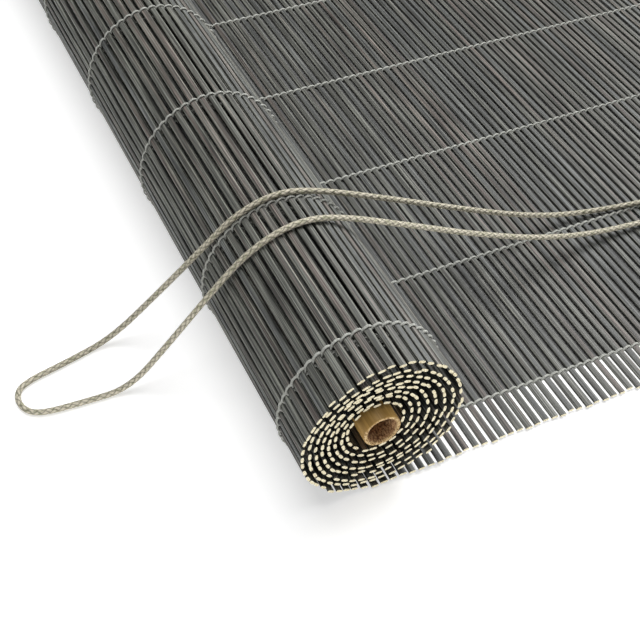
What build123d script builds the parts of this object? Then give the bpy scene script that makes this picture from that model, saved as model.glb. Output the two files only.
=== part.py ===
"""A bamboo roll up blind, lying on a surface, part rolled up from its lower end.

Flat bamboo slats run along X. Seven rows of binding string cross them and hold them as a mat.
The mat lies flat from the head batten, at +Y, to the roll, at -Y, passes under the roll and winds
about eight times round a hollow bamboo cane. The head batten carries two hanger plates, two
eyes for the lift cords and the cord lock, where both strands of the pull cord's loop come out.

Frame: +X along the slats, +Y towards the head, +Z up. The origin is the middle of the blind's
footprint, on the surface that it lies on. Sizes are in millimetres and angles in degrees.
"""

from build123d import *
import os
from collections import namedtuple
from math import asin, atan2, cos, degrees, hypot, pi, radians, sin, tan

# Mat
slat_length = 600.0
slat_width = 3.6
slat_thickness = 1.55
slat_corner = 0.5
slat_pitch = 5.05
flat_slat_count = 88
string_row_count = 7
string_margin = 24.5  # from a slat's end to the first string
string_thickness = 0.725  # on each face of the slats
string_width = 1.6
string_play = 0.03
string_tie = 0.2  # the string between the last slats and the end of its row

# Roll: each turn is an oval, drawn in a little from the one outside it
roll_turns = 7.85
turn_gap_y = 0.7  # room between one turn's mat and the next, beside the roll
turn_gap_z = 0.5  # the same, above and below
core_room_y = 1.905  # from the cane's skin to the mat's inner end, beside the cane
core_room_z = 2.775  # the same, above and below
turn_drift_y = -0.22
turn_drift_z = -0.15
turn_recess = 0.66  # how far each turn's near end sits behind the one outside it
outer_turn_slack = 2.6  # extra height of the loose outermost turn

# Cane in the middle of the roll
cane_radius = 9.25
cane_wall = 3.0
cane_overhang = 2.2
cane_diaphragm = 3.0
cane_rim_chamfer = 0.4
seat_turns = 0.43  # from the mat's inner end to where it is stapled to the cane
seat_play = 0.05

# Head batten
batten_width = 25.0
batten_thickness = 12.0
batten_edge = 1.2

# Staples: two legs that pass between slats, over a crown that lies on the mat's outer face
staple_crown = 10.0
staple_wire_width = 0.5
staple_wire_thickness = 0.3
staple_play = 0.05
head_gap_index = 3  # the gap between slats, counted from the head, that the legs pass
head_staple_bite = 5.0
cane_staple_bite = 2.4

# Hanger plates
hanger_inset = 60.0
hanger_width = 14.0
hanger_thickness = 1.5
hanger_rise = 13.0  # above the batten's head edge
hanger_setback = 3.0  # from the plate's inner end to the batten's lower edge
hanger_hole_radius = 3.0
hanger_screw_spacing = 11.0

# Wood screws
screw_radius = 1.5
screw_head_radius = 2.9
screw_head_height = 1.6
screw_slot_width = 0.7
screw_slot_depth = 0.7
screw_tip = 2.5
hanger_screw_length = 10.0
lock_screw_length = 12.0

# Screw eyes for the lift cords
eye_near_inset = 170.0
eye_far_inset = 100.0
eye_ring_radius = 4.4
eye_wire_radius = 1.1
eye_drop = 7.0  # from the batten's lower edge to the ring's centre
eye_bite = 10.0

# Cord lock: a housing on the batten's lower edge, with a two-groove sheave and a locking cam
lock_inset = 95.0
lock_front_room = 3.8  # between the cam's nose and the front wall
lock_wall = 1.5
lock_floor = 1.2
lock_cover_thickness = 1.2
lock_ear = 9.0
lock_back_thickness = 2.0
lock_lift = 0.2  # above the strings
lock_corner = 2.0
port_play = 0.6
sheave_radius = 7.2
sheave_wall_play = 0.8
sheave_side_play = 0.2
groove_depth = 2.4
groove_play = 0.45
groove_rib = 0.8  # between the two grooves
groove_rim = 0.3  # outside each groove
axle_radius = 1.5
axle_head_radius = 2.6
axle_head_height = 0.8
running_play = 0.06
cam_hub_radius = 3.0
cam_nose_radius = 1.8
cam_reach = 5.4
cam_below_sheave = 4.0
cam_wall_room = 3.35  # the nose's way from the cord to the side wall
cord_play = 0.35

# Pull cord: one loop, both of its strands coming out of the lock
cord_radius = 1.5
cord_float = 0.15
cord_bend_share = 0.45

# Worked out from the sizes above
mat_half = slat_thickness / 2 + string_thickness
mat_top = 2 * mat_half
turn_step_y = mat_top + turn_gap_y
turn_step_z = mat_top + turn_gap_z
roll_half_width = cane_radius + mat_half + core_room_y + turn_step_y * roll_turns
roll_half_height = cane_radius + mat_half + core_room_z + turn_step_z * roll_turns
flat_length = flat_slat_count * slat_pitch
turn_count = int(roll_turns) + 1
row_spacing = (slat_length - 2 * string_margin) / (string_row_count - 1)
far_overhang = turn_recess * (turn_count - 1)
near_x = (slat_length + far_overhang - cane_overhang) / 2  # slat ends of the flat mat
roll_reach = roll_half_width - turn_step_y / 4 - turn_drift_y / 4 + mat_half
roll_y = (roll_reach - flat_length - hanger_rise) / 2
roll_z = mat_half + roll_half_height
head_y = roll_y + flat_length
batten_y = head_y - batten_width / 2
batten_low_y = head_y - batten_width
batten_z = mat_top + batten_thickness / 2
batten_top = mat_top + batten_thickness
string_xs = [near_x - string_margin - row * row_spacing for row in range(string_row_count)]
staple_xs = [(a + b) / 2 for a, b in zip(string_xs, string_xs[1:])]
hanger_xs = [near_x - hanger_inset, near_x - slat_length + hanger_inset]
hanger_grip = batten_width - hanger_setback
eye_xs = [near_x - eye_near_inset, near_x - slat_length + eye_far_inset]
cord_lane = 2 * (cord_radius + cord_play)
groove_width = 2 * (cord_radius + groove_play)
groove_pitch = groove_width + groove_rib
groove_floor = sheave_radius - groove_depth
sheave_height = groove_pitch + groove_width + 2 * groove_rim
cavity_height = sheave_height + 2 * sheave_side_play
cavity_width = (
    sheave_wall_play + sheave_radius + groove_floor + cord_lane
    + cam_hub_radius + cam_nose_radius + cam_wall_room + cord_play
)
lock_height = lock_floor + cavity_height + lock_cover_thickness
lock_width = cavity_width + 2 * lock_wall
lock_x = near_x - lock_inset
lock_back_y = batten_low_y - lock_back_thickness
lock_z = mat_top + lock_lift + lock_height / 2
sheave_x = lock_x - cavity_width / 2 + sheave_wall_play + sheave_radius
sheave_y = lock_back_y - lock_wall - sheave_wall_play - sheave_radius
strand_x = sheave_x + groove_floor + cord_lane / 2
cam_x = strand_x + cord_lane / 2 + cam_hub_radius
cam_y = sheave_y - cam_below_sheave
front_y = cam_y - cam_reach - cam_nose_radius - lock_front_room - lock_wall
lock_depth = lock_back_y - front_y
cam_grip_angle = degrees(asin((cam_hub_radius - cam_nose_radius) / cam_reach))
cam_open_angle = degrees(asin(cam_wall_room / cam_reach))

Spot = namedtuple("Spot", "y z angle turn")


def roll_point(turn):
    """The mat's middle line in the roll, turn being counted from the floor contact inwards."""
    a = 2 * pi * turn
    slack = outer_turn_slack * min(cos(a), 0) ** 2 if turn < 1 else 0
    half_y = roll_half_width - turn_step_y * turn
    half_z = roll_half_height - turn_step_z * turn
    y = roll_y + turn_drift_y * turn - half_y * sin(a)
    z = mat_half + roll_half_height + turn_drift_z * turn - half_z * cos(a) + slack
    return y, z


def roll_spot(turn):
    """A slat's place in the roll, lying along the mat's line, its outer face pointing down at 0 turns."""
    probe = 1e-4
    y, z = roll_point(turn)
    y0, z0 = roll_point(turn - probe)
    y1, z1 = roll_point(turn + probe)
    return Spot(y, z, degrees(atan2(z0 - z1, y0 - y1)), turn)


def step_along(turn, distance):
    """The turn count that lies a distance further along the mat."""
    probe = 1e-3
    for middle in (turn, turn + distance / (2 * pi * 80)):
        y0, z0 = roll_point(middle)
        y1, z1 = roll_point(middle + probe)
        speed = hypot(y1 - y0, z1 - z0) / probe
    return turn + distance / speed


def walk_mat():
    """Every slat's place, from the head batten to the mat's inner end."""
    flat = [
        Spot(head_y - (i + 0.5) * slat_pitch, mat_half, 0.0, 0.0) for i in range(flat_slat_count)
    ]
    rolled = []
    turn = step_along(0, slat_pitch / 2)
    while turn < roll_turns:
        rolled.append(roll_spot(turn))
        turn = step_along(turn, slat_pitch)
    return flat, rolled


flat_spots, rolled_spots = walk_mat()


def at(spot):
    return Location((spot.y, spot.z, 0), (0, 0, spot.angle))


def slats(spots, end_x):
    """A group of slats whose near ends lie at end_x."""
    with BuildPart() as group:
        with BuildSketch(Plane.YZ.offset(end_x - slat_length)):
            with Locations(*[at(spot) for spot in spots]):
                RectangleRounded(slat_width, slat_thickness, slat_corner)
        extrude(amount=slat_length)
    return group.part


def string_face(spots, reach):
    """One face of the string, from slat to slat, on the side of the mat that reach gives."""
    points = []
    for a, b in zip(spots, spots[1:]):
        half_turn = radians(((b.angle - a.angle + 180) % 360) - 180) / 2
        to_joint = hypot(b.y - a.y, b.z - a.z) / 2 / cos(half_turn)
        y = a.y - to_joint * cos(radians(a.angle))
        z = a.z - to_joint * sin(radians(a.angle))
        middle = radians(a.angle) + half_turn
        offset = reach / cos(half_turn)
        points.append((y - offset * sin(middle), z + offset * cos(middle)))
    return points


def past_end(spot, along, reach):
    """A point past the mat's inner end, on the side of the mat that reach gives."""
    c, s = cos(radians(spot.angle)), sin(radians(spot.angle))
    return spot.y - along * c - reach * s, spot.z - along * s + reach * c


def flat_outline(reach, low_y, high_y):
    """A closed outline round the flat mat's slats."""
    low_z, high_z = mat_half - reach, mat_half + reach
    return [(low_y, low_z), (high_y, low_z), (high_y, high_z), (low_y, high_z)]


def rolled_outline(reach, start_gap, end_gap):
    """A closed outline round the rolled slats, from the floor contact to the mat's inner end."""
    start = roll_y + start_gap
    along = slat_pitch / 2 + end_gap
    inner_end = [past_end(rolled_spots[-1], along, side * reach) for side in (1, -1)]
    upper = string_face(rolled_spots, reach)
    lower = string_face(rolled_spots, -reach)
    return [
        (start, mat_half + reach), *upper, *inner_end, *reversed(lower), (start, mat_half - reach)
    ]


def string_loop(x, outer, inner):
    """A loop of binding string round slats, standing on the plane across the slats at x."""
    with BuildPart() as loop:
        with BuildSketch(Plane.YZ.offset(x - string_width / 2)):
            with BuildLine():
                Polyline(*outer, close=True)
            make_face()
            with BuildLine():
                Polyline(*inner, close=True)
            make_face(mode=Mode.SUBTRACT)
        extrude(amount=string_width)
    return loop.part


def staple_plane(x, spot, next_spot, reach):
    """Where a staple's crown lies: between two slats, its legs pointing towards reach's sign."""
    middle = radians((spot.angle + next_spot.angle) / 2)
    normal = (0, -sin(middle), cos(middle))
    y = (spot.y + next_spot.y) / 2
    z = (spot.z + next_spot.z) / 2
    start = -reach * (slat_thickness / 2 + staple_play + staple_wire_width)
    origin = (x, y + start * normal[1], z + start * normal[2])
    return Plane(origin=origin, x_dir=(1, 0, 0), z_dir=(0, reach * normal[1], reach * normal[2]))


def leg_length(bite, depth):
    """From the crown's outer face, through the mat, to a bite in the wood below it."""
    return bite + depth + slat_thickness / 2 + staple_play + staple_wire_width


def staples(planes, length):
    """A group of staples, the crown's middle at each plane's origin."""
    with BuildPart() as group:
        for plane in planes:
            with BuildSketch(plane):
                Rectangle(staple_crown, staple_wire_thickness)
            extrude(amount=staple_wire_width)
            with BuildSketch(plane):
                with Locations((-leg_offset, 0), (leg_offset, 0)):
                    Rectangle(staple_wire_width, staple_wire_thickness)
            extrude(amount=length)
    return group.part


def cut_leg_slots(planes, length):
    """The slots that staple legs sit in, cut into the piece being built."""
    for plane in planes:
        with BuildSketch(plane) as slots:
            with Locations((-leg_offset, 0), (leg_offset, 0)):
                Rectangle(
                    staple_wire_width + 2 * staple_play, staple_wire_thickness + 2 * staple_play
                )
        extrude(slots.sketch, amount=length + staple_play, mode=Mode.SUBTRACT)


def screws(places, length):
    """A group of slotted wood screws, each under its head at a plane's origin, pointing down."""
    with BuildPart() as group:
        for plane in places:
            with BuildSketch(plane):
                Circle(screw_head_radius)
            extrude(amount=screw_head_height)
            with BuildSketch(plane):
                Circle(screw_radius)
            extrude(amount=-(length - screw_tip))
            with BuildSketch(plane.offset(-(length - screw_tip))):
                Circle(screw_radius)
            extrude(amount=-screw_tip, taper=degrees(atan2(screw_radius * 0.8, screw_tip)))
            with BuildSketch(plane.offset(screw_head_height)):
                Rectangle(2 * screw_head_radius + 1, screw_slot_width)
            extrude(amount=-screw_slot_depth, mode=Mode.SUBTRACT)
    return group.part


def cut_screw_holes(places, length):
    """Holes for the screws' shanks, cut into the piece being built."""
    for plane in places:
        with BuildSketch(plane) as hole:
            Circle(screw_radius + running_play)
        extrude(hole.sketch, amount=-(length + running_play), mode=Mode.SUBTRACT)


def bend_radii(points):
    """A radius for each bend that leaves a straight stretch between it and the next."""
    radii = []
    for a, b, c in zip(points, points[1:], points[2:]):
        before = Vector(*b) - Vector(*a)
        after = Vector(*c) - Vector(*b)
        turned = radians(before.get_angle(after))
        shorter = min(before.length, after.length)
        radii.append(cord_bend_share * shorter / tan(turned / 2))
    return radii


leg_offset = (staple_crown - staple_wire_width) / 2

# The mat's slats: the flat stretch, then each turn of the roll
turn_spots = [[s for s in rolled_spots if int(s.turn) == turn] for turn in range(turn_count)]

slats_flat = slats(flat_spots, near_x)
slats_flat.label = "slats_flat"

roll_turn_parts = []
for turn, spots in enumerate(turn_spots):
    group = slats(spots, near_x - turn * turn_recess)
    group.label = f"slats_turn_{turn + 1}"
    roll_turn_parts.append(group)

# Rows of binding string, a loop round the flat mat's slats and one round the rolled slats
inner_reach = slat_thickness / 2 + string_play
flat_lines = (
    flat_outline(mat_half, roll_y, head_y + string_tie),
    flat_outline(inner_reach, roll_y + string_tie, head_y),
)
rolled_lines = rolled_outline(mat_half, 0, string_tie), rolled_outline(inner_reach, -string_tie, 0)
string_parts = []
for row, x in enumerate(string_xs):
    for stretch, lines in (("flat", flat_lines), ("rolled", rolled_lines)):
        loop = string_loop(x, *lines)
        loop.label = f"string_{stretch}_{row + 1}"
        string_parts.append(loop)

# Bamboo cane, blind from each end to the diaphragm at its one node
seat_turn = roll_turns - seat_turns
seat_index = min(range(len(rolled_spots)), key=lambda i: abs(rolled_spots[i].turn - seat_turn))
seat = rolled_spots[seat_index]
seat_after = rolled_spots[seat_index + 1]
seat_planes = [staple_plane(x, seat, seat_after, 1) for x in staple_xs]
cane_drop = mat_half + seat_play + cane_radius
seat_bearing = radians((seat.angle + seat_after.angle) / 2)
cane_y = (seat.y + seat_after.y) / 2 - cane_drop * sin(seat_bearing)
cane_z = (seat.z + seat_after.z) / 2 + cane_drop * cos(seat_bearing)
cane_near_x = near_x + cane_overhang
cane_length = slat_length + 2 * cane_overhang
cane_bore_depth = (cane_length - cane_diaphragm) / 2
cane_plane = Plane(origin=(cane_near_x, cane_y, cane_z), z_dir=(-1, 0, 0))
cane_leg = leg_length(cane_staple_bite, mat_half + seat_play)

with BuildPart() as cane:
    with BuildSketch(cane_plane):
        Circle(cane_radius)
    extrude(amount=cane_length)
    for end in (cane_plane, cane_plane.offset(cane_length)):
        depth = cane_bore_depth if end is cane_plane else -cane_bore_depth
        with BuildSketch(end):
            Circle(cane_radius - cane_wall)
        extrude(amount=depth, mode=Mode.SUBTRACT)
    chamfer(cane.edges().filter_by(GeomType.CIRCLE).sort_by(Axis.X)[-2:], cane_rim_chamfer)
    cut_leg_slots(seat_planes, cane_leg)
cane.part.label = "cane"

cane_staples = staples(seat_planes, cane_leg)
cane_staples.label = "cane_staples"

# Head batten, with its holes and slots
head_planes = [
    staple_plane(x, flat_spots[head_gap_index], flat_spots[head_gap_index + 1], 1)
    for x in staple_xs
]
head_leg = leg_length(head_staple_bite, mat_half)
hanger_screw_y = head_y - hanger_grip / 2
hanger_screw_places = [
    Plane(origin=(x, hanger_screw_y + side * hanger_screw_spacing / 2, batten_top + hanger_thickness))
    for x in hanger_xs
    for side in (-1, 1)
]
ear_reach = (lock_width + lock_ear) / 2
lock_screw_places = [
    Plane(origin=(lock_x + side * ear_reach, lock_back_y, lock_z), z_dir=(0, -1, 0))
    for side in (-1, 1)
]
eye_places = [Plane(origin=(x, batten_low_y, batten_z), z_dir=(0, -1, 0)) for x in eye_xs]

with BuildPart() as head_batten:
    with BuildSketch(Plane.YZ.offset(near_x - slat_length)):
        with Locations((batten_y, batten_z)):
            RectangleRounded(batten_width, batten_thickness, batten_edge)
    extrude(amount=slat_length)
    cut_leg_slots(head_planes, head_leg)
    cut_screw_holes(hanger_screw_places, hanger_screw_length)
    cut_screw_holes(lock_screw_places, lock_screw_length)
    for place in eye_places:
        with BuildSketch(place):
            Circle(eye_wire_radius + running_play)
        extrude(amount=-(eye_bite + running_play), mode=Mode.SUBTRACT)
head_batten.part.label = "head_batten"

head_staples = staples(head_planes, head_leg)
head_staples.label = "head_staples"

# Hanger plates and their screws
hanger_parts = []
for side, x in zip(("near", "far"), hanger_xs):
    with BuildPart() as hanger:
        with BuildSketch(Plane.XY.offset(batten_top)):
            with Locations((x, head_y + (hanger_rise - hanger_grip) / 2)):
                SlotCenterToCenter(hanger_rise + hanger_grip - hanger_width, hanger_width, rotation=90)
            with Locations((x, head_y + hanger_rise - hanger_width / 2)):
                Circle(hanger_hole_radius, mode=Mode.SUBTRACT)
        extrude(amount=hanger_thickness)
        for place in hanger_screw_places:
            with BuildSketch(place):
                Circle(screw_radius + running_play)
            extrude(amount=-hanger_thickness, mode=Mode.SUBTRACT)
    hanger.part.label = f"hanger_{side}"
    hanger_parts.append(hanger.part)

hanger_screws = screws(hanger_screw_places, hanger_screw_length)
hanger_screws.label = "hanger_screws"

# Screw eyes
with BuildPart() as cord_eyes:
    for place in eye_places:
        x, y, z = place.origin
        ring_y = y - eye_drop
        with BuildSketch(Plane(origin=(x, ring_y, z), x_dir=(0, 1, 0), z_dir=(0, 0, 1))):
            with Locations((eye_ring_radius, 0)):
                Circle(eye_wire_radius)
        revolve(axis=Axis((x, ring_y, z), (1, 0, 0)))
        with BuildSketch(place.offset(eye_drop - eye_ring_radius)):
            Circle(eye_wire_radius)
        extrude(amount=-(eye_drop - eye_ring_radius + eye_bite))
cord_eyes.part.label = "cord_eyes"

# Cord lock
lock_low = lock_z - lock_height / 2
lock_top = lock_z + lock_height / 2
cavity_low = lock_low + lock_floor
cavity_top = lock_top - lock_cover_thickness
body_middle = (lock_x, lock_back_y - lock_depth / 2)
pin_places = ((sheave_x, sheave_y), (cam_x, cam_y))

with BuildPart() as lock_housing:
    with BuildSketch(Plane.XY.offset(lock_low)):
        with Locations(body_middle):
            RectangleRounded(lock_width, lock_depth, lock_corner)
        with Locations((lock_x, lock_back_y - lock_corner)):
            Rectangle(lock_width, 2 * lock_corner)
    extrude(amount=lock_height - lock_cover_thickness)
    with BuildSketch(Plane.XY.offset(cavity_low)):
        with Locations(body_middle):
            Rectangle(lock_width - 2 * lock_wall, lock_depth - 2 * lock_wall)
    extrude(amount=lock_height, mode=Mode.SUBTRACT)
    with BuildSketch(Plane.XZ.offset(-batten_low_y)):
        with Locations((lock_x, lock_z)):
            RectangleRounded(lock_width + 2 * lock_ear, lock_height, lock_corner)
    extrude(amount=lock_back_thickness)
    with BuildSketch(Plane.XZ.offset(-front_y)):
        with Locations((strand_x, cavity_low + cavity_height / 2)):
            Rectangle(2 * (cord_radius + port_play), cavity_height)
    extrude(amount=-2 * lock_wall, mode=Mode.SUBTRACT)
    with BuildSketch(Plane.XY.offset(lock_low)):
        with Locations(*pin_places):
            Circle(axle_radius + running_play)
    extrude(amount=lock_floor, mode=Mode.SUBTRACT)
    cut_screw_holes(lock_screw_places, lock_back_thickness)
lock_housing.part.label = "lock_housing"

with BuildPart() as lock_cover:
    with BuildSketch(Plane.XY.offset(cavity_top)):
        with Locations(body_middle):
            RectangleRounded(lock_width, lock_depth, lock_corner)
        with Locations((lock_x, lock_back_y - lock_corner)):
            Rectangle(lock_width, 2 * lock_corner)
        with Locations(*pin_places):
            Circle(axle_radius + running_play, mode=Mode.SUBTRACT)
    extrude(amount=lock_cover_thickness)
lock_cover.part.label = "lock_cover"

with BuildPart() as lock_pins:
    with BuildSketch(Plane.XY.offset(lock_low)):
        with Locations(*pin_places):
            Circle(axle_radius)
    extrude(amount=lock_height)
    with BuildSketch(Plane.XY.offset(lock_top)):
        with Locations(*pin_places):
            Circle(axle_head_radius)
    extrude(amount=axle_head_height)
lock_pins.part.label = "lock_pins"

sheave_low = cavity_low + sheave_side_play
groove_middle = sheave_low + sheave_height / 2
groove_zs = [groove_middle + side * groove_pitch / 2 for side in (-1, 1)]
flank = groove_depth * 0.25

with BuildPart() as lock_sheave:
    with BuildSketch(Plane(origin=(sheave_x, sheave_y, 0), x_dir=(1, 0, 0), z_dir=(0, -1, 0))):
        with Locations(((axle_radius + running_play + sheave_radius) / 2, groove_middle)):
            Rectangle(sheave_radius - axle_radius - running_play, sheave_height)
        for z in groove_zs:
            half = groove_width / 2
            with BuildLine():
                Polyline(
                    (sheave_radius + 1, z - half - flank / 4),
                    (groove_floor, z - half + flank),
                    (groove_floor, z + half - flank),
                    (sheave_radius + 1, z + half + flank / 4),
                    close=True,
                )
            make_face(mode=Mode.SUBTRACT)
    revolve(axis=Axis((sheave_x, sheave_y, 0), (0, 0, 1)))
lock_sheave.part.label = "lock_sheave"

with BuildPart() as lock_cam:
    with BuildSketch(Plane.XY.offset(sheave_low)):
        with Locations((cam_x, cam_y)):
            Circle(cam_hub_radius)
        with Locations((cam_x, cam_y - cam_reach)):
            Circle(cam_nose_radius)
        make_hull()
        with Locations((cam_x, cam_y)):
            Circle(axle_radius + running_play, mode=Mode.SUBTRACT)
    extrude(amount=sheave_height)
lock_cam.part.label = "lock_cam"

lock_screws = screws(lock_screw_places, lock_screw_length)
lock_screws.label = "lock_screws"

# Pull cord, from the lock over the mat and the roll to the floor, and back
mat_ride = mat_top + cord_radius + cord_float
floor_ride = cord_radius + cord_float


def over_roll(x, bearing):
    """A bend of the cord on the roll, bearing being measured from straight up towards the front."""
    half_turn = radians(14)
    y, z = roll_point(0.5 - bearing / 360)
    reach = hypot(y - roll_y, z - roll_z) + mat_half + cord_radius + cord_float
    reach /= cos(half_turn)
    return x, roll_y - reach * sin(radians(bearing)), roll_z + reach * cos(radians(bearing))


def from_roll(x, y, z):
    """A place given from the near slat ends and from the roll's line of contact."""
    return near_x + x, roll_y + y, z


cord_points = [
    (strand_x, sheave_y, groove_zs[1]),
    (strand_x, front_y - 16, groove_zs[1]),
    (strand_x - 8, front_y - 53, mat_ride + 2),
    from_roll(-108, 292, mat_ride),
    from_roll(-114, 252, mat_ride),
    from_roll(-119, 212, mat_ride),
    from_roll(-123, 180, mat_ride + 2.6),
    from_roll(-122.5, 148, 19),
    from_roll(-120.5, 104, 41),
    from_roll(-118.5, 60, 64),
    over_roll(near_x - 118, -26),
    over_roll(near_x - 118, 3),
    over_roll(near_x - 117.5, 31),
    over_roll(near_x - 119, 57),
    from_roll(-128.5, -62, 34),
    from_roll(-138.5, -86, floor_ride),
    from_roll(-131.5, -112, floor_ride),
    from_roll(-126.5, -136, floor_ride),
    from_roll(-119.1, -141.2, floor_ride),
    from_roll(-110.2, -140.1, floor_ride),
    from_roll(-104.2, -133.4, floor_ride),
    from_roll(-102.8, -111, floor_ride),
    from_roll(-102.5, -88, floor_ride),
    from_roll(-99, -66, 30),
    over_roll(near_x - 95.5, 59),
    over_roll(near_x - 93.5, 32),
    over_roll(near_x - 95, 4),
    over_roll(near_x - 97, -25),
    from_roll(-96.5, 60, 64),
    from_roll(-97.5, 104, 41),
    from_roll(-100, 150, 19.5),
    from_roll(-101.5, 188, 8),
    from_roll(-101, 226, mat_ride),
    from_roll(-98.5, 264, mat_ride),
    from_roll(-95, 302, mat_ride),
    (strand_x + 1.5, front_y - 53, mat_ride + 0.3),
    (strand_x, front_y - 16, groove_zs[0]),
    (strand_x, sheave_y, groove_zs[0]),
]
cord_radii = bend_radii(cord_points)

with BuildPart() as pull_cord:
    with BuildLine() as route:
        FilletPolyline(*cord_points, radius=cord_radii)
    with BuildSketch(Plane(origin=route.line @ 0, z_dir=route.line % 0)):
        Circle(cord_radius)
    sweep()
pull_cord.part.label = "pull_cord"

parts = [
    slats_flat,
    *roll_turn_parts,
    *string_parts,
    cane.part,
    cane_staples,
    head_batten.part,
    head_staples,
    *hanger_parts,
    hanger_screws,
    cord_eyes.part,
    lock_housing.part,
    lock_cover.part,
    lock_pins.part,
    lock_sheave.part,
    lock_cam.part,
    lock_screws,
    pull_cord.part,
]

os.makedirs("parts", exist_ok=True)
for part in parts:
    export_step(part, f"parts/{part.label}.step")
    print(part.label, len(part.solids()), round(part.volume), part.is_valid)

print("cord radii", [round(radius, 1) for radius in cord_radii])
cord_length = sum(edge.length for edge in route.line.edges())
expected = round(pi * cord_radius**2 * cord_length)
print("cord length", round(cord_length, 1))
print("cord volume against section times length", round(pull_cord.part.volume), expected)
print("cam grip and open angles", round(cam_grip_angle, 1), round(cam_open_angle, 1))
print("cane", round(cane_y, 2), round(cane_z, 2))
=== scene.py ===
# Bamboo roll up blind: slats, twisted binding string, cane, head batten, cord lock and pull cord.
import random
from math import atan2, cos, hypot, pi, radians, sin

import bmesh
import bpy
from mathutils import Matrix, Vector


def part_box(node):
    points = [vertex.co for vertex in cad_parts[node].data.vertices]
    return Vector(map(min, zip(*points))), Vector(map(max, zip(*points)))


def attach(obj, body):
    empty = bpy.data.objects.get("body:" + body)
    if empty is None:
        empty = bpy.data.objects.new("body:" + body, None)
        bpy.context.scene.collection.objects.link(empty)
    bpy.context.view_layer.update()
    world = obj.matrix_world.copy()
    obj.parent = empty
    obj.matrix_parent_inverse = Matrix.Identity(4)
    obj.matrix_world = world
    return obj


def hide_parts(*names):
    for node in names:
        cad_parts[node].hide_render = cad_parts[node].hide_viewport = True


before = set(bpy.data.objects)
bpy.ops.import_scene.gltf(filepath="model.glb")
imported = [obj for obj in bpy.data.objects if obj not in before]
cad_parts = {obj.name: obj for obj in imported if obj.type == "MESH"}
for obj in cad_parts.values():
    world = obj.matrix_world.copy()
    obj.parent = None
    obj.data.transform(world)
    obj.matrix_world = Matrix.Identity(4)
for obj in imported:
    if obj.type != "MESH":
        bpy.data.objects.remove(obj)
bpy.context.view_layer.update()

# The mat and its roll, in metres, with the part's own sizes
mat = {
    "slatLength": 0.6,
    "slatWidth": 0.0036,
    "slatThickness": 0.00155,
    "slatPitch": 0.00505,
    "flatSlats": 88,
    "stringRows": 7,
    "stringMargin": 0.0245,
    "half": 0.0015,
    "nearX": 0.30121,
    "rollY": -0.207535,
    "rollHalfWidth": 0.0417,
    "rollHalfHeight": 0.041,
    "rollRadiusAbout": 0.04,
    "turnStepY": 0.0037,
    "turnStepZ": 0.0035,
    "turnDriftY": -0.00022,
    "turnDriftZ": -0.00015,
    "turnRecess": 0.00066,
    "deepestRecess": 0.0046,
    "outerSlack": 0.0026,
    "rollTurns": 7.85,
}
headY = mat["rollY"] + mat["flatSlats"] * mat["slatPitch"]
rollZ = mat["half"] + mat["rollHalfHeight"]
rowSpacing = (mat["slatLength"] - 2 * mat["stringMargin"]) / (mat["stringRows"] - 1)


class Socket:
    # a shader socket whose sums and products are Math nodes
    def __init__(self, tree, link):
        self.tree = tree
        self.link = link

    def maths(self, operation, first, second=None):
        node = self.tree.nodes.new("ShaderNodeMath")
        node.operation = operation
        feed(self.tree, node.inputs[0], first)
        if second is not None:
            feed(self.tree, node.inputs[1], second)
        return Socket(self.tree, node.outputs[0])

    def __add__(self, other):
        return self.maths("ADD", self, other)

    def __radd__(self, other):
        return self.maths("ADD", other, self)

    def __sub__(self, other):
        return self.maths("SUBTRACT", self, other)

    def __rsub__(self, other):
        return self.maths("SUBTRACT", other, self)

    def __mul__(self, other):
        return self.maths("MULTIPLY", self, other)

    def __rmul__(self, other):
        return self.maths("MULTIPLY", other, self)

    def __truediv__(self, other):
        return self.maths("DIVIDE", self, other)

    def __pow__(self, other):
        return self.maths("POWER", self, other)

    def __gt__(self, other):
        return self.maths("GREATER_THAN", self, other)

    def __lt__(self, other):
        return self.maths("LESS_THAN", self, other)

    def __mod__(self, other):
        return self.maths("FLOORED_MODULO", self, other)

    def __abs__(self):
        return self.maths("ABSOLUTE", self)


def feed(tree, socket, value):
    if isinstance(value, Socket):
        tree.links.new(value.link, socket)
    elif hasattr(value, "__len__") and len(value) == 3 and socket.type == "RGBA":
        socket.default_value = (*value, 1.0)
    else:
        socket.default_value = value


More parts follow.
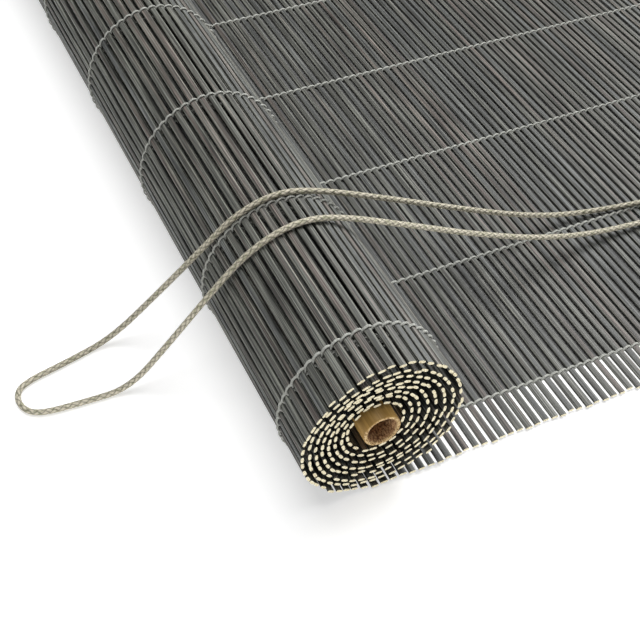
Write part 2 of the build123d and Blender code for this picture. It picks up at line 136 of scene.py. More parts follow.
class Finish:
    # one material, with its Principled shader ready to be fed
    def __init__(self, name, **fixed):
        self.material = bpy.data.materials.new(name)
        self.material.use_nodes = True
        self.tree = self.material.node_tree
        self.shader = self.tree.nodes["Principled BSDF"]
        self.set(**fixed)

    def set(self, **values):
        for name, value in values.items():
            feed(self.tree, self.shader.inputs[name.replace("_", " ")], value)

    def node(self, kind, settings=None, inputs=None, output=0):
        made = self.tree.nodes.new("ShaderNode" + kind)
        for name, value in (settings or {}).items():
            if name == "stops":
                while len(made.color_ramp.elements) < len(value):
                    made.color_ramp.elements.new(0.5)
                for element, (place, colour) in zip(made.color_ramp.elements, value):
                    element.position = place
                    element.color = (*colour, 1.0)
            else:
                setattr(made, name, value)
        for name, value in (inputs or {}).items():
            feed(self.tree, made.inputs[name], value)
        return Socket(self.tree, made.outputs[output])

    def blend(self, factor, first, second):
        made = self.tree.nodes.new("ShaderNodeMix")
        made.data_type = "RGBA"
        feed(self.tree, made.inputs[0], factor)
        feed(self.tree, made.inputs[6], first)
        feed(self.tree, made.inputs[7], second)
        return Socket(self.tree, made.outputs[2])

    def place(self, scale, uvMap=None):
        source = (
            self.node("UVMap", {"uv_map": uvMap})
            if uvMap
            else self.node("TexCoord", output="Object")
        )
        return self.node("Mapping", inputs={"Vector": source, "Scale": scale})

    def noise(self, place, scale=1.0, detail=3.0, roughness=0.55):
        return self.node(
            "TexNoise",
            inputs={"Vector": place, "Scale": scale, "Detail": detail, "Roughness": roughness},
        )

    def ramp(self, value, stops):
        return self.node("ValToRGB", {"stops": stops}, {"Fac": value})

    def bump(self, height, strength, distance):
        self.set(
            Normal=self.node(
                "Bump", inputs={"Height": height, "Strength": strength, "Distance": distance}
            )
        )


def grey(value):
    return (value, value, value)


def fade(start, end):
    # ramp stops that run from black to white
    return [(start, grey(0)), (end, grey(1))]


def split(finish, vector):
    parts = finish.tree.nodes.new("ShaderNodeSeparateXYZ")
    feed(finish.tree, parts.inputs[0], vector)
    return [Socket(finish.tree, out) for out in parts.outputs]


# Stained bamboo: a tone for each slat, long fibres and a thin satin lacquer
stain = {
    "green": (0.100, 0.102, 0.090),
    "blue": (0.097, 0.101, 0.097),
    "red": (0.118, 0.098, 0.087),
    "wornAndHighlight": (0.31, 0.32, 0.27),
    "fibreLength": 0.06,
    "streakWidth": 0.00045,
    "fibreWidth": 0.00025,
    "wearAndHighlight": 1.0,
    "blueShare": 0.65,
    "baseShade": 0.46,
    "castStretch": 0.4,
    "warmFrom": 0.56,
    "warmTo": 0.64,
    "gloss": 0.36,
    "glossSpread": 0.25,
    "grain": 0.0003,
}


def stainedBamboo():
    finish = Finish("stainedBamboo", IOR=1.5)
    along = 1 / stain["fibreLength"]
    streak = finish.noise(finish.place((along, 1 / stain["streakWidth"], 1), "slatUv"), 1.0, 2.0)
    fibre = finish.noise(finish.place((2 * along, 1 / stain["fibreWidth"], 1), "slatUv"), 1.0, 3.0)
    tone = finish.node("Attribute", {"attribute_name": "slatTone"}, output="Color")
    light, hue, _ = split(finish, tone)
    across, depth, _ = split(finish, finish.node("UVMap", {"uv_map": "slatAcross"}))
    stretch = stain["castStretch"]
    castPlace = finish.place((stretch * along, stretch / stain["streakWidth"], 1), "slatUv")
    cast = finish.noise(castPlace, 1.0, 1.0)
    colour = finish.blend(hue < 1 - stain["blueShare"], stain["green"], stain["blue"])
    warm = finish.ramp(cast * 0.7 + hue * 0.3, fade(stain["warmFrom"], stain["warmTo"]))
    colour = finish.blend(warm, colour, stain["red"])
    side = finish.ramp(abs(depth), [(0.35, grey(0.15)), (0.8, grey(1))])  # painted shade: the narrow sides and underside of each slat are darkened, standing in for the shade in the gaps between slats
    lines = finish.ramp(streak, [(0.33, grey(0.18)), (0.5, grey(0.85)), (0.7, grey(3.1))])
    shade = (stain["baseShade"] + light) * lines * (0.25 + 1.5 * fibre) * side
    colour = finish.node("VectorMath", {"operation": "SCALE"}, {"Vector": colour, "Scale": shade})
    # pale slat edges: partly worn stain, partly a painted highlight along the rounded long edges
    edge = finish.ramp(abs(across), [(0.55, grey(0)), (0.78, grey(1)), (1.0, grey(0.2))])
    relief = streak * 0.6 + fibre * 0.4
    wearAndHighlightMask = finish.ramp(relief, fade(0.42, 0.62))
    colour = finish.blend(edge * wearAndHighlightMask * stain["wearAndHighlight"], colour, stain["wornAndHighlight"])
    finish.set(Base_Color=colour, Roughness=stain["gloss"] + stain["glossSpread"] * fibre)
    finish.bump(relief, 0.5, stain["grain"])
    return finish.material


# Cut ends of the slats: pale pith with darker pores
cutEnds = {
    "pores": (400, 1700, 1700),
    "stops": [(0.34, (0.46, 0.36, 0.20)), (0.5, (0.86, 0.79, 0.55)), (0.8, (0.96, 0.93, 0.78))],
}


def cutBamboo():
    finish = Finish("cutBamboo", Roughness=0.85)
    pores = finish.noise(finish.place(cutEnds["pores"]), 1.0, 2.0, 0.6)
    finish.set(Base_Color=finish.ramp(pores, cutEnds["stops"]))
    finish.bump(pores, 0.5, 0.0002)
    return finish.material


# Grey cotton of the binding string
cotton = {
    "fibres": (2600, 1300, 1300),
    "stops": [(0.25, (0.24, 0.24, 0.21)), (0.6, (0.50, 0.51, 0.47)), (1, (0.68, 0.68, 0.64))],
}


def twine():
    finish = Finish("greyTwine", Roughness=0.9)
    fibres = finish.noise(finish.place(cotton["fibres"]), 1.0, 3.0, 0.6)
    finish.set(Base_Color=finish.ramp(fibres, cotton["stops"]), Sheen_Weight=0.2)
    finish.bump(fibres, 0.6, 0.00025)
    return finish.material


# Plait of the pull cord: yarns that pass over and under each other
braid = {
    "pitch": 0.0046,
    "around": 4,
    "pale": (0.80, 0.74, 0.59),
    "olive": (0.50, 0.49, 0.33),
    # painted shade for the grooves between the yarns
    "dark": (0.085, 0.075, 0.05),
    "fibres": (5000, 60, 1),
    "patches": (420, 5, 1),
    "patchEdge": (0.5, 0.62),
    "relief": 0.0004,
}


def braidedCord():
    finish = Finish("braidedCord", Roughness=0.85, Sheen_Weight=0.15)
    place = finish.node("UVMap", {"uv_map": "cordUv"})
    along, around, _ = split(finish, place)
    rising = along / braid["pitch"] + around * braid["around"]
    falling = along / braid["pitch"] - around * braid["around"]
    over = ((rising % 2 > 1) - (falling % 2 > 1)) ** 2
    ridgeA = 1 - abs((rising % 1) * 2 - 1) ** 2
    ridgeB = 1 - abs((falling % 1) * 2 - 1) ** 2
    height = over * ridgeA + (1 - over) * ridgeB
    fibres = finish.noise(finish.place(braid["fibres"], "cordUv"), 1.0, 2.0)
    patches = finish.noise(finish.place(braid["patches"], "cordUv"), 1.0, 2.0)
    patch = finish.ramp(patches, fade(*braid["patchEdge"]))
    yarn = finish.blend(patch, braid["pale"], braid["olive"])
    # painted shade: the low parts of the plait, between the yarns, take the dark colour
    colour = finish.blend(height * 0.75 + fibres * 0.25, braid["dark"], yarn)
    finish.set(Base_Color=colour)
    finish.bump(height + 0.3 * fibres, 0.9, braid["relief"])
    return finish.material


caneLow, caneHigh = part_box("cane")
cane = {
    "y": (caneLow.y + caneHigh.y) / 2,
    "z": (caneLow.z + caneHigh.z) / 2,
    "radius": 0.00925,
    "bore": 0.00625,
    "overhang": 0.0022,
    "diaphragm": 0.003,
    "rim": [(0.4, (0.24, 0.12, 0.04)), (0.5, (0.60, 0.40, 0.17)), (0.64, (0.90, 0.74, 0.44))],
    "pith": [(0.4, (0.12, 0.05, 0.02)), (0.5, (0.38, 0.20, 0.09)), (0.64, (0.66, 0.42, 0.21))],
    "skin": [(0.34, (0.20, 0.11, 0.028)), (0.5, (0.42, 0.24, 0.06)), (0.68, (0.62, 0.39, 0.12))],
    "streaks": (30, 1500, 1500),
    "blotches": (60, 160, 160),
    "pores": (700, 1300, 1300),
    "pithPerMetre": 300,
    "waves": range(2, 15),
    "sides": 64,
    "lengths": 24,
    "rimBreak": 0.0006,
    "ragged": 0.00022,
}


def caneSkin():
    finish = Finish("caneSkin", IOR=1.5)
    streaks = finish.noise(finish.place(cane["streaks"]), 1.0, 3.0)
    blotches = finish.noise(finish.place(cane["blotches"]), 1.0, 2.0)
    skin = finish.ramp(streaks * 0.5 + blotches * 0.5, cane["skin"])
    finish.set(Base_Color=skin, Roughness=0.38 + 0.2 * blotches)
    finish.bump(streaks, 0.2, 0.0002)
    return finish.material


def caneFibre():
    finish = Finish("caneFibre", Roughness=0.95)
    pores = finish.noise(finish.place(cane["pores"]), 1.0, 3.0, 0.7)
    x, _, _ = split(finish, finish.node("TexCoord", output="Object"))
    depth = mat["slatLength"] / 2 + cane["overhang"] - abs(x - mat["nearX"] + mat["slatLength"] / 2)
    inward = depth * cane["pithPerMetre"] + pores - 0.5
    inside = finish.ramp(inward, fade(0.05, 0.5))  # all pith from about 1.5 mm in
    rim = finish.ramp(pores, cane["rim"])
    pith = finish.ramp(pores, cane["pith"])
    finish.set(Base_Color=finish.blend(inside, rim, pith))
    finish.bump(pores, 0.9, 0.0008)
    return finish.material


# Head batten: planed wood with the mat's stain
batten = {
    "grain": (12, 900, 900),
    "stops": [(0.25, (0.055, 0.056, 0.05)), (0.6, (0.115, 0.118, 0.105)), (1, (0.17, 0.17, 0.155))],
}


def stainedWood():
    finish = Finish("stainedWood", IOR=1.5)
    grain = finish.noise(finish.place(batten["grain"]), 1.0, 4.0, 0.6)
    finish.set(Base_Color=finish.ramp(grain, batten["stops"]), Roughness=0.42 + 0.2 * grain)
    finish.bump(grain, 0.3, 0.0002)
    return finish.material


# Zinc of the plates and screws, and the wire of the staples
plating = {
    "cloud": (350, 350, 350),
    "stops": [(0.3, (0.52, 0.53, 0.53)), (0.8, (0.72, 0.72, 0.70))],
    "dullness": 0.18,
}


def zinc(name, roughness):
    finish = Finish(name, Metallic=1.0)
    cloud = finish.noise(finish.place(plating["cloud"]), 1.0, 3.0)
    colour = finish.ramp(cloud, plating["stops"])
    finish.set(Base_Color=colour, Roughness=roughness + plating["dullness"] * cloud)
    finish.bump(cloud, 0.08, 0.0002)
    return finish.material


# Plastic of the cord lock, with a fine spark-eroded skin
plastic = {
    "spark": (2200, 2200, 2200),
    "case": ((0.035, 0.035, 0.033), (0.05, 0.05, 0.047)),
    "insides": ((0.58, 0.57, 0.53), (0.68, 0.67, 0.63)),
}


def mouldedPlastic(name, dark, pale):
    finish = Finish(name)
    spark = finish.noise(finish.place(plastic["spark"]), 1.0, 2.0)
    colour = finish.ramp(spark, [(0.3, dark), (0.8, pale)])
    finish.set(Base_Color=colour, Roughness=0.5 + 0.15 * spark)
    finish.bump(spark, 0.15, 0.0001)
    return finish.material


hairTurn = 0.0001  # a small share of a turn, to read the roll's slope

# Places of the slats: (y, z, angle in radians, turn), from the head batten to the mat's inner end
def rollPoint(turn):
    a = 2 * pi * turn
    slack = mat["outerSlack"] * min(cos(a), 0) ** 2 if turn < 1 else 0
    halfY = mat["rollHalfWidth"] - mat["turnStepY"] * turn
    halfZ = mat["rollHalfHeight"] - mat["turnStepZ"] * turn
    y = mat["rollY"] + mat["turnDriftY"] * turn - halfY * sin(a)
    z = rollZ + mat["turnDriftZ"] * turn - halfZ * cos(a) + slack
    return y, z


def rollSpot(turn):
    y, z = rollPoint(turn)
    y0, z0 = rollPoint(turn - hairTurn)
    y1, z1 = rollPoint(turn + hairTurn)
    return y, z, atan2(z0 - z1, y0 - y1), turn


def stepAlong(turn, distance):
    ahead = 10 * hairTurn
    middle = turn + distance / (4 * pi * mat["rollRadiusAbout"])
    y0, z0 = rollPoint(middle)
    y1, z1 = rollPoint(middle + ahead)
    return turn + distance * ahead / hypot(y1 - y0, z1 - z0)


def slatSpots():
    pitch = mat["slatPitch"]
    spots = [(headY - (i + 0.5) * pitch, mat["half"], 0.0, 0.0) for i in range(mat["flatSlats"])]
    turn = stepAlong(0, pitch / 2)
    while turn < mat["rollTurns"]:
        spots.append(rollSpot(turn))
        turn = stepAlong(turn, pitch)
    return spots


spots = slatSpots()
print("slats", len(spots))


def finishPiece(name, bm, materials, body="blind"):
    mesh = bpy.data.meshes.new(name)
    bm.to_mesh(mesh)
    bm.free()
    for material in materials:
        mesh.materials.append(material)
    piece = bpy.data.objects.new(name, mesh)
    bpy.context.scene.collection.objects.link(piece)
    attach(piece, body)
    return piece


# A slat: a thin bar with rounded long edges and a crowned back, cut across so that it can bow a little
slat = {
    "sections": 12,
    "ridges": (-0.17, 0, 0.17),
    "edgeRound": 0.00072,
    "crown": 0.00017,
    "sag": 0.00012,
    "wander": 0.0003,
    "waves": 7,
    "splay": 0.0003,
    "tilt": radians(3.5),
    "widening": (-0.1, 0.07),
    "cutJitter": 0.0009,
    "flare": 0.08,
    "fringeStart": 0.455,
    # painted light and shade: a darker tone for the flat slats, a paler one for the rolled slats
    "flatPaintedShade": 0.33,
    "rollPaintedLight": 0.6,
    "toneSpread": 0.13,
}


def slatShape():
    bm = bmesh.new()
    bmesh.ops.create_cube(bm, size=1)
    size = (mat["slatLength"], mat["slatWidth"], mat["slatThickness"])
    bmesh.ops.scale(bm, vec=size, verts=bm.verts)
    longEdges = [e for e in bm.edges if abs(e.verts[0].co.x - e.verts[1].co.x) > 0.1]
    bmesh.ops.bevel(
        bm, geom=longEdges, offset=slat["edgeRound"], segments=3, affect="EDGES", profile=0.5, material=-1
    )
    cuts = [((cut / slat["sections"] - 0.5) * mat["slatLength"], 0) for cut in range(1, slat["sections"])]
    cuts += [(0, share * mat["slatWidth"]) for share in slat["ridges"]]
    for x, y in cuts:
        normal = (0, 1, 0) if (x, y) == (0, 0) or y else (1, 0, 0)
        bmesh.ops.bisect_plane(
            bm, geom=bm.verts[:] + bm.edges[:] + bm.faces[:], plane_co=(x, y, 0), plane_no=normal
        )
    fall = slat["crown"] / (mat["slatThickness"] / 2)
    for vert in bm.verts:
        vert.co.z *= 1 - fall * (2 * vert.co.y / mat["slatWidth"]) ** 2
    for face in bm.faces:
        face.material_index = 1 if abs(face.normal.x) > 0.9 else 0
        face.smooth = face.material_index == 0
    for edge in bm.edges:
        edge.smooth = all(face.smooth for face in edge.link_faces)
    mesh = bpy.data.meshes.new("slatShape")
    bm.to_mesh(mesh)
    bm.free()
    return mesh


def addSlat(bm, shape, spot, index, chance):
    y, z, angle, turn = spot
    start = len(bm.verts)
    startFace = len(bm.faces)
    bm.from_mesh(shape)
    bm.verts.ensure_lookup_table()
    bm.faces.ensure_lookup_table()
    recess = min(mat["turnRecess"] * max(turn - 0.5, 0), mat["deepestRecess"])
    middleX = mat["nearX"] - mat["slatLength"] / 2 - recess
    nearCut = chance.uniform(-1, 0.8) * slat["cutJitter"]
    farCut = chance.uniform(-0.8 if turn == 0 else 0, 1) * slat["cutJitter"]
    bow, bowAt = chance.uniform(-1, 1) * slat["sag"], chance.uniform(0.7, 2.2)
    drift, driftAt = chance.uniform(-1, 1) * slat["wander"], chance.uniform(0, 2 * pi)
    splay = chance.uniform(-1, 1) * slat["splay"]
    turned = Matrix.Rotation(chance.uniform(-1, 1) * slat["tilt"], 4, "X")
    placed = Matrix.Translation((middleX, y, z)) @ Matrix.Rotation(angle, 4, "X")
    widen = 1 + chance.uniform(*slat["widening"])
    uvLayer = bm.loops.layers.uv["slatUv"]
    acrossLayer = bm.loops.layers.uv["slatAcross"]
    toneLayer = bm.verts.layers.float_color["slatTone"]
    # painted light and shade: rolled slats take a paler tone and flat slats a darker one, standing in for
    # how brightly each is lit
    shade = slat["flatPaintedShade"] if turn == 0 else slat["rollPaintedLight"]
    tone = (chance.gauss(shade, slat["toneSpread"]), chance.random(), chance.random(), 1)
    shiftX, shiftY = index * 0.731, index * 0.0177  # each slat reads its own stretch of the grain
    for face in bm.faces[startFace:]:
        for loop in face.loops:
            co = loop.vert.co
            loop[uvLayer].uv = (co.x + shiftX, co.y + co.z * 0.9 + shiftY)
            loop[acrossLayer].uv = (2 * co.y / mat["slatWidth"], 2 * co.z / mat["slatThickness"])
    for vert in bm.verts[start:]:
        u = vert.co.x / mat["slatLength"]
        fringe = max(abs(u) - slat["fringeStart"], 0) / (0.5 - slat["fringeStart"])
        co = turned @ Vector((vert.co.x, vert.co.y * (widen + slat["flare"] * fringe), vert.co.z))
        if u > 0.49:
            co.x += nearCut
        if u < -0.49:
            co.x += farCut
        co.y += drift * sin(driftAt + u * slat["waves"]) + splay * fringe
        co.z += bow * sin(bowAt * pi * (u + 0.5))
        vert[toneLayer] = tone
        vert.co = placed @ co


def slatGroup(name, node, picked, materials, shape, seed):
    chance = random.Random(seed)
    bm = bmesh.new()
    bm.loops.layers.uv.new("slatUv")
    bm.loops.layers.uv.new("slatAcross")
    bm.verts.layers.float_color.new("slatTone")
    for index, spot in picked:
        addSlat(bm, shape, spot, index, chance)
    piece = finishPiece(name, bm, materials)
    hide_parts(node)
    return piece


# Binding string: two strands that wind round each other, with a slat between them at each turn
twineSizes = {
    "radius": 0.00052,
    "lift": 0.00096,
    "proudFlat": 0.0002,
    "proudRoll": 0.00055,
    "rollSkin": (0.06, 0.94),
    "battenCover": 0.028,
    "swing": 0.00028,
    "spread": 1.35,
    "fullness": 0.6,
    "stations": (-1, -0.8, -0.58, -0.3, 0, 0.3, 0.58, 0.8),
}


def strandPoints(phase):
    points = []
    skinFrom, skinTo = twineSizes["rollSkin"]
    for index, (y, z, angle, turn) in enumerate(spots):
        side = 1 if (index + phase) % 2 == 0 else -1
        onFlatTop = turn == 0 and side > 0 and y < headY - twineSizes["battenCover"]
        onRollSkin = skinFrom < turn < skinTo and side < 0
        lift = twineSizes["lift"]
        if onFlatTop:
            lift += twineSizes["proudFlat"]
        if onRollSkin:
            lift += twineSizes["proudRoll"]
        c, s = cos(angle), sin(angle)
        for step in twineSizes["stations"]:
            along = -step * mat["slatPitch"] / 2
            rise = side * lift * cos(pi * step / 2) ** twineSizes["fullness"] if step > -1 else 0
            swing = side * twineSizes["swing"] * sin(pi * step / 2)
            points.append((swing, y + along * c - rise * s, z + along * s + rise * c))
    return points


def tube(name, lines, radius, resolution, kind="POLY"):
    data = bpy.data.curves.new(name, "CURVE")
    data.dimensions = "3D"
    data.bevel_depth = radius
    data.bevel_resolution = resolution
    data.use_fill_caps = True
    for line in lines:
        spline = data.splines.new(kind)
        spline.points.add(len(line) - 1)
        for point, place in zip(spline.points, line):
            point.co = (*place, 1)
        if kind == "NURBS":
            spline.order_u = 3
            spline.use_endpoint_u = True
            spline.resolution_u = 12
    return data


def meshOf(data, name):
    holder = bpy.data.objects.new(name + "Line", data)
    bpy.context.scene.collection.objects.link(holder)
    mesh = bpy.data.meshes.new_from_object(holder)
    bpy.data.objects.remove(holder)
    return mesh


def stringRow(row, material):
    x = mat["nearX"] - mat["stringMargin"] - row * rowSpacing
    name = f"bindingString{row + 1}"
    lines = [strandPoints(0), strandPoints(1)]
    mesh = meshOf(tube(name, lines, twineSizes["radius"], 1), name)
    mesh.materials.clear()
    mesh.materials.append(material)
    for vert in mesh.vertices:
        vert.co.x = x + vert.co.x * twineSizes["spread"]
    for face in mesh.polygons:
        face.use_smooth = True
    piece = bpy.data.objects.new(name, mesh)
    bpy.context.scene.collection.objects.link(piece)
    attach(piece, "blind")
    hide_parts(f"string_flat_{row + 1}", f"string_rolled_{row + 1}")


# Cane: one skin from the near diaphragm out over the rim, along the outside and back in
def caneRings():
    near = mat["nearX"] + cane["overhang"]
    far = mat["nearX"] - mat["slatLength"] - cane["overhang"]
    middle = (near + far) / 2
    node, radius, bore = cane["diaphragm"] / 2, cane["radius"], cane["bore"]
    outer = [(near - cane["rimBreak"], radius, 0)]
    for step in range(1, cane["lengths"]):
        outer.append((near - (near - far) * step / cane["lengths"], radius, 0))
    outer.append((far + cane["rimBreak"], radius, 0))
    # depth below the rim and reach from the axis, from the bore out over the torn edge
    torn = [(0.12, bore), (0.03, bore), (0.008, bore), (0.004, bore * 1.03), (0.002, bore * 1.1)]
    torn += [(0.0008, bore * 1.19), (0.0001, bore * 1.25), (0, radius * 0.92), (0.0001, radius - 0.0003)]
    rings = [(middle + node, bore, 1)] + [(near - depth, reach, 1) for depth, reach in torn]
    rings += outer + [(far + depth, reach, 1) for depth, reach in reversed(torn)]
    return rings + [(middle - node, bore, 1)]


def caneAngle(vert):
    return atan2(vert.co.z - cane["z"], vert.co.y - cane["y"])


def caneShape(materials):
    chance = random.Random(11)
    bm = bmesh.new()
    sides = cane["sides"]
    waves = [(k, chance.uniform(0, 2 * pi), chance.uniform(0.4, 1.0) / k) for k in cane["waves"]]
    rings = caneRings()
    made = bmesh.ops.create_circle(bm, segments=sides, radius=1, cap_ends=False)
    loop = sorted(made["verts"], key=lambda v: (atan2(v.co.y, v.co.x) + pi / sides) % (2 * pi))
    edges = list({e for v in loop for e in v.link_edges})
    shapeRing(loop, rings[0], waves, chance)
    for ring in rings[1:]:
        out = bmesh.ops.extrude_edge_only(bm, edges=edges)["geom"]
        edges = [g for g in out if isinstance(g, bmesh.types.BMEdge)]
        fresh = [g for g in out if isinstance(g, bmesh.types.BMVert)]
        loop = sorted(fresh, key=lambda v: (caneAngle(v) + pi / sides) % (2 * pi))
        shapeRing(loop, ring, waves, chance)
    bmesh.ops.holes_fill(bm, edges=bm.edges, sides=sides)
    bmesh.ops.recalc_face_normals(bm, faces=bm.faces)
    for face in bm.faces:
        centre = face.calc_center_median()
        reach = hypot(centre.y - cane["y"], centre.z - cane["z"])
        face.material_index = 0 if reach > cane["radius"] * 0.975 else 1
        face.smooth = True
    return finishPiece("bambooCane", bm, materials)


def shapeRing(loop, ring, waves, chance):
    x, radius, rough = ring
    for index, vert in enumerate(loop):
        a = 2 * pi * index / len(loop)
        wobble = sum(size * cos(k * a + at) for k, at, size in waves)
        grow = (0.0002 if rough else 0.00003) * wobble
        reach = radius + (grow if radius < cane["radius"] * 0.95 else min(grow, 0))
        ragged = chance.uniform(-cane["ragged"], 0.0) if rough else 0
        inward = 1 if x > 0 else -1
        vert.co = (x + ragged * inward, cane["y"] + reach * cos(a), cane["z"] + reach * sin(a))


# Pull cord: the part's own route, and the plait wound on a smooth line through it
cordSizes = {
    "radius": 0.0015,
    "float": 0.00015,
    "sides": 16,
    "overRollStep": radians(14),
    "sheaveReach": 0.00665,
    "lockHeight": 0.0092,
    "grooveOffset": 0.00235,
    "matRide": 4.65,
    "floorRide": 1.65,
}


def overRoll(x, bearing):
    y, z = rollPoint(0.5 - bearing / 360)
    reach = hypot(y - mat["rollY"], z - rollZ) + mat["half"] + cordSizes["radius"] + cordSizes["float"]
    reach /= cos(cordSizes["overRollStep"])  # control points stand outside the curve they pull
    return x, mat["rollY"] - reach * sin(radians(bearing)), rollZ + reach * cos(radians(bearing))


def fromRoll(x, y, z):
    return mat["nearX"] + x / 1000, mat["rollY"] + y / 1000, z / 1000


print("materials")
stained = stainedBamboo()
cut = cutBamboo()
greyTwine = twine()
caneMaterials = [caneSkin(), caneFibre()]
zincPlate = zinc("zincPlate", 0.32)
drawnWire = zinc("drawnWire", 0.28)
darkPlastic = mouldedPlastic("darkPlastic", *plastic["case"])
palePlastic = mouldedPlastic("palePlastic", *plastic["insides"])
woodStain = stainedWood()

carriedOver = {
    "head_batten": woodStain,
    "cane_staples": drawnWire,
    "head_staples": drawnWire,
    "hanger_near": zincPlate,
    "hanger_far": zincPlate,
    "hanger_screws": zincPlate,
    "cord_eyes": zincPlate,
    "lock_housing": darkPlastic,
    "lock_cover": darkPlastic,
    "lock_pins": zincPlate,
    "lock_sheave": palePlastic,
    "lock_cam": palePlastic,
    "lock_screws": zincPlate,
}
for node, material in carriedOver.items():
    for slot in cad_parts[node].material_slots:
        slot.material = material

print("pull cord")
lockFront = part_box("lock_housing")[0].y
sheaveLow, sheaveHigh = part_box("lock_sheave")
sheaveX, sheaveY = (sheaveLow.x + sheaveHigh.x) / 2, (sheaveLow.y + sheaveHigh.y) / 2
strandX = sheaveX + cordSizes["sheaveReach"]
upperGroove = cordSizes["lockHeight"] + cordSizes["grooveOffset"]
lowerGroove = cordSizes["lockHeight"] - cordSizes["grooveOffset"]
matRide, floorRide = cordSizes["matRide"], cordSizes["floorRide"]  # in millimetres, as the route is
cordRoute = [
    (strandX, sheaveY, upperGroove),
    (strandX, lockFront - 0.016, upperGroove),
    (strandX - 0.008, lockFront - 0.053, (matRide + 2) / 1000),
    fromRoll(-108, 292, matRide),
    fromRoll(-114, 252, matRide),
    fromRoll(-119, 212, matRide),
    fromRoll(-123, 180, matRide + 2.6),
    fromRoll(-122.5, 148, 19),
    fromRoll(-120.5, 104, 41),
    fromRoll(-118.5, 60, 64),
    overRoll(mat["nearX"] - 0.118, -26),
    overRoll(mat["nearX"] - 0.118, 3),
    overRoll(mat["nearX"] - 0.1175, 31),
    overRoll(mat["nearX"] - 0.119, 57),
    fromRoll(-128.5, -62, 34),
    fromRoll(-138.5, -86, floorRide),
    fromRoll(-131.5, -112, floorRide),
    fromRoll(-126.5, -136, floorRide),
    fromRoll(-119.1, -141.2, floorRide),
    fromRoll(-110.2, -140.1, floorRide),
    fromRoll(-104.2, -133.4, floorRide),
    fromRoll(-102.8, -111, floorRide),
    fromRoll(-102.5, -88, floorRide),
    fromRoll(-99, -66, 30),
    overRoll(mat["nearX"] - 0.0955, 59),
    overRoll(mat["nearX"] - 0.0935, 32),
    overRoll(mat["nearX"] - 0.095, 4),
    overRoll(mat["nearX"] - 0.097, -25),
    fromRoll(-96.5, 60, 64),
    fromRoll(-97.5, 104, 41),
    fromRoll(-100, 150, 19.5),
    fromRoll(-101.5, 188, 8),
    fromRoll(-101, 226, matRide),
    fromRoll(-98.5, 264, matRide),
    fromRoll(-95, 302, matRide),
    (strandX + 0.0015, lockFront - 0.053, (matRide + 0.3) / 1000),
    (strandX, lockFront - 0.016, lowerGroove),
    (strandX, sheaveY, lowerGroove),
]


def cordPiece(material):
    line = meshOf(tube("cordRoute", [cordRoute], 0, 0, "NURBS"), "cordRoute")
    path = [v.co.copy() for v in line.vertices]
    sides = cordSizes["sides"]
    data = tube("cordSkin", [path], cordSizes["radius"], sides // 2 - 2)  # n gives 2n + 4 sides
    mesh = meshOf(data, "cordSkin")
    count = len(mesh.vertices) // len(path)
    walked = [0.0]
    for a, b in zip(path, path[1:]):
        walked.append(walked[-1] + (b - a).length)
    uv = mesh.uv_layers.new(name="cordUv")
    for polygon in mesh.polygons:
        corners = [mesh.loops[i].vertex_index for i in polygon.loop_indices]
        ringPlaces = [corner % count for corner in corners]
        wraps = max(ringPlaces) - min(ringPlaces) > count / 2
        for i, corner, ringPlace in zip(polygon.loop_indices, corners, ringPlaces):
            if wraps and ringPlace < count / 2:
                ringPlace += count
            ring = min(corner // count, len(walked) - 1)
            uv.data[i].uv = (walked[ring], ringPlace / count)
        polygon.use_smooth = True
    mesh.materials.clear()
    mesh.materials.append(material)
    piece = bpy.data.objects.new("pullCord", mesh)
    bpy.context.scene.collection.objects.link(piece)
    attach(piece, "blind")
    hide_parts("pull_cord")


cordPiece(braidedCord())

print("slats")
shape = slatShape()
slatMaterials = [stained, cut]
numbered = list(enumerate(spots))
slatGroup("flatSlats", "slats_flat", numbered[: mat["flatSlats"]], slatMaterials, shape, 3)
for turn in range(int(mat["rollTurns"]) + 1):
    picked = [(i, s) for i, s in numbered[mat["flatSlats"] :] if int(s[3]) == turn]
    slatGroup(f"turnSlats{turn + 1}", f"slats_turn_{turn + 1}", picked, slatMaterials, shape, 20 + turn)

print("binding string")
for row in range(mat["stringRows"]):
    stringRow(row, greyTwine)

print("cane")
canePiece = caneShape(caneMaterials)
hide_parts("cane")

print("stage")
stage = {
    "size": 6.0,
    "gap": 0.0003,
    "floor": grey(0.7),
    "paintedMatShadow": grey(0.25),
    "glow": 0.55,
    "fringeGlow": 0.4,
    "fringeEnd": 0.0012,
    "sky": 0.095,
    "lights": {
        "keyLight": ((-0.5, 1.5, 1.35), (0, 0, 0), (1.1, 0.8), 41),
        "overhead": ((0, -0.3, 1.8), (0, 0, 0), (1.2, 1.2), 23),
        "endLight": ((2.6, -0.2, 0.05), (0.3, -0.2, 0.04), (0.6, 0.1), 20),
    },
}


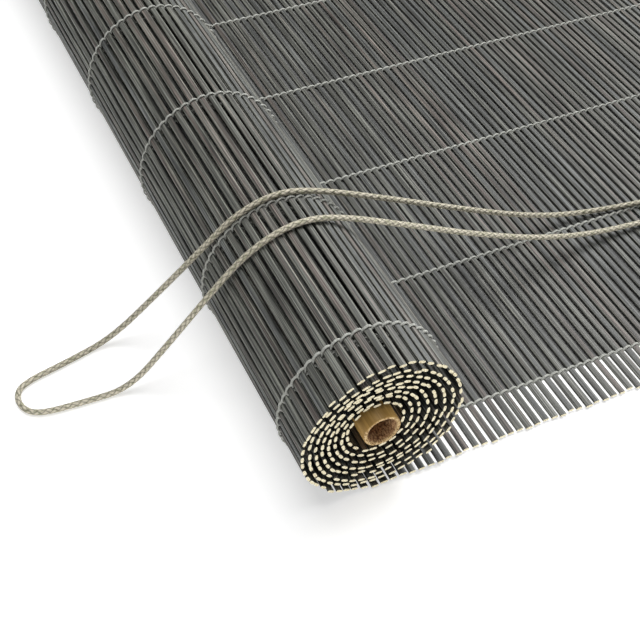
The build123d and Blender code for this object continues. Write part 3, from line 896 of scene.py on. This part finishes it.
def floorPlane():
    bm = bmesh.new()
    bmesh.ops.create_grid(bm, x_segments=1, y_segments=1, size=stage["size"])
    bmesh.ops.translate(bm, vec=(0, 0, -stage["gap"]), verts=bm.verts)
    mesh = bpy.data.meshes.new("floor")
    bm.to_mesh(mesh)
    bm.free()
    finish = Finish("paleFloor", Roughness=0.9)
    x, y, _ = split(finish, finish.node("TexCoord", output="Object"))
    matShadowX = (x > mat["nearX"] - mat["slatLength"]) * (x < mat["nearX"] - mat["stringMargin"])
    matShadowY = (y > mat["rollY"]) * (y < headY)  # painted shadow: the floor under the mat is darker and does not glow
    matShadowMask = matShadowX * matShadowY
    # painted light: an extra glow on the floor under the loose slat ends brightens the gaps between them
    fringeX = (x > mat["nearX"] - mat["stringMargin"]) * (x < mat["nearX"] - stage["fringeEnd"])
    fringe = fringeX * (y > mat["rollY"] + mat["rollHalfWidth"] / 2) * (y < headY)
    glow = (1 - matShadowMask) * stage["glow"] + fringe * stage["fringeGlow"]
    # painted shadow: a darker floor colour under the mat
    finish.set(Base_Color=finish.blend(matShadowMask, stage["floor"], stage["paintedMatShadow"]))
    finish.set(Emission_Color=glow, Emission_Strength=1.0)
    mesh.materials.append(finish.material)
    floor = bpy.data.objects.new("floor", mesh)
    bpy.context.scene.collection.objects.link(floor)


def softLight(name, place, target, size, power):
    data = bpy.data.lights.new(name, "AREA")
    data.shape = "RECTANGLE"
    data.size, data.size_y = size
    data.energy = power
    lamp = bpy.data.objects.new(name, data)
    lamp.location = place
    lamp.rotation_euler = (Vector(target) - Vector(place)).to_track_quat("-Z", "Y").to_euler()
    bpy.context.scene.collection.objects.link(lamp)


view = {
    "place": (0.57608, -0.384375, 0.4533),
    "bearing": 62.796,
    "height": 46.44,
    "roll": 2.758,
    "lens": 65.88,
    "film": 36,
    "clipStart": 0.01,
}


def lookingCamera():
    data = bpy.data.cameras.new("camera")
    data.sensor_width = view["film"]
    data.lens = view["lens"]
    data.clip_start = view["clipStart"]
    camera = bpy.data.objects.new("camera", data)
    az, el, ro = (radians(view[k]) for k in ("bearing", "height", "roll"))
    back = Vector((sin(az) * cos(el), -cos(az) * cos(el), sin(el)))
    right = Vector((cos(az), sin(az), 0))
    up = back.cross(right)
    turnedRight = cos(ro) * right + sin(ro) * up
    turnedUp = cos(ro) * up - sin(ro) * right
    facing = Matrix((turnedRight, turnedUp, back)).transposed().to_4x4()
    camera.matrix_world = Matrix.Translation(view["place"]) @ facing
    bpy.context.scene.collection.objects.link(camera)
    bpy.context.scene.camera = camera


floorPlane()
world = bpy.data.worlds.new("sky")
world.use_nodes = True
world.node_tree.nodes["Background"].inputs["Color"].default_value = (1, 1, 1, 1)
world.node_tree.nodes["Background"].inputs["Strength"].default_value = stage["sky"]
bpy.context.scene.world = world
for name, (spot, target, size, power) in stage["lights"].items():
    softLight(name, spot, target, size, power)
lookingCamera()
bpy.context.scene.view_settings.view_transform = "Standard"
